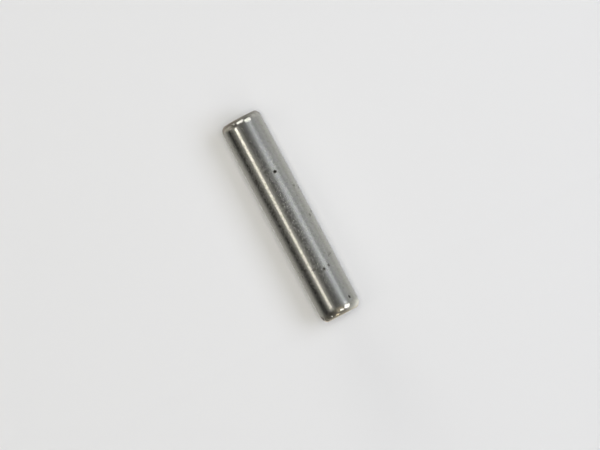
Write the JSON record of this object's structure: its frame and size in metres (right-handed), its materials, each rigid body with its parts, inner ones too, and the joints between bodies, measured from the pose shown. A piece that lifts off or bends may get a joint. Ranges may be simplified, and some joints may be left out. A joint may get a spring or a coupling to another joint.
{
  "type": "alignment pin",
  "caption": "Plain straight alignment pin: a short solid ground steel rod with flat ends and rounded edges.",
  "frame": {"origin": "centre of the flat foot face, on which the pin stands", "axes": "+Z along the pin's axis, from the foot face up to the top face; the pin is round about +Z"},
  "size_m": [0.0036, 0.0034, 0.018],
  "materials": {
    "ground_steel": "ground and lightly polished steel with a faint mottled stain and a few dark specks"
  },
  "bodies": {
    "root": {"alignment_pin": "ground_steel"}
  },
  "joints": []
}
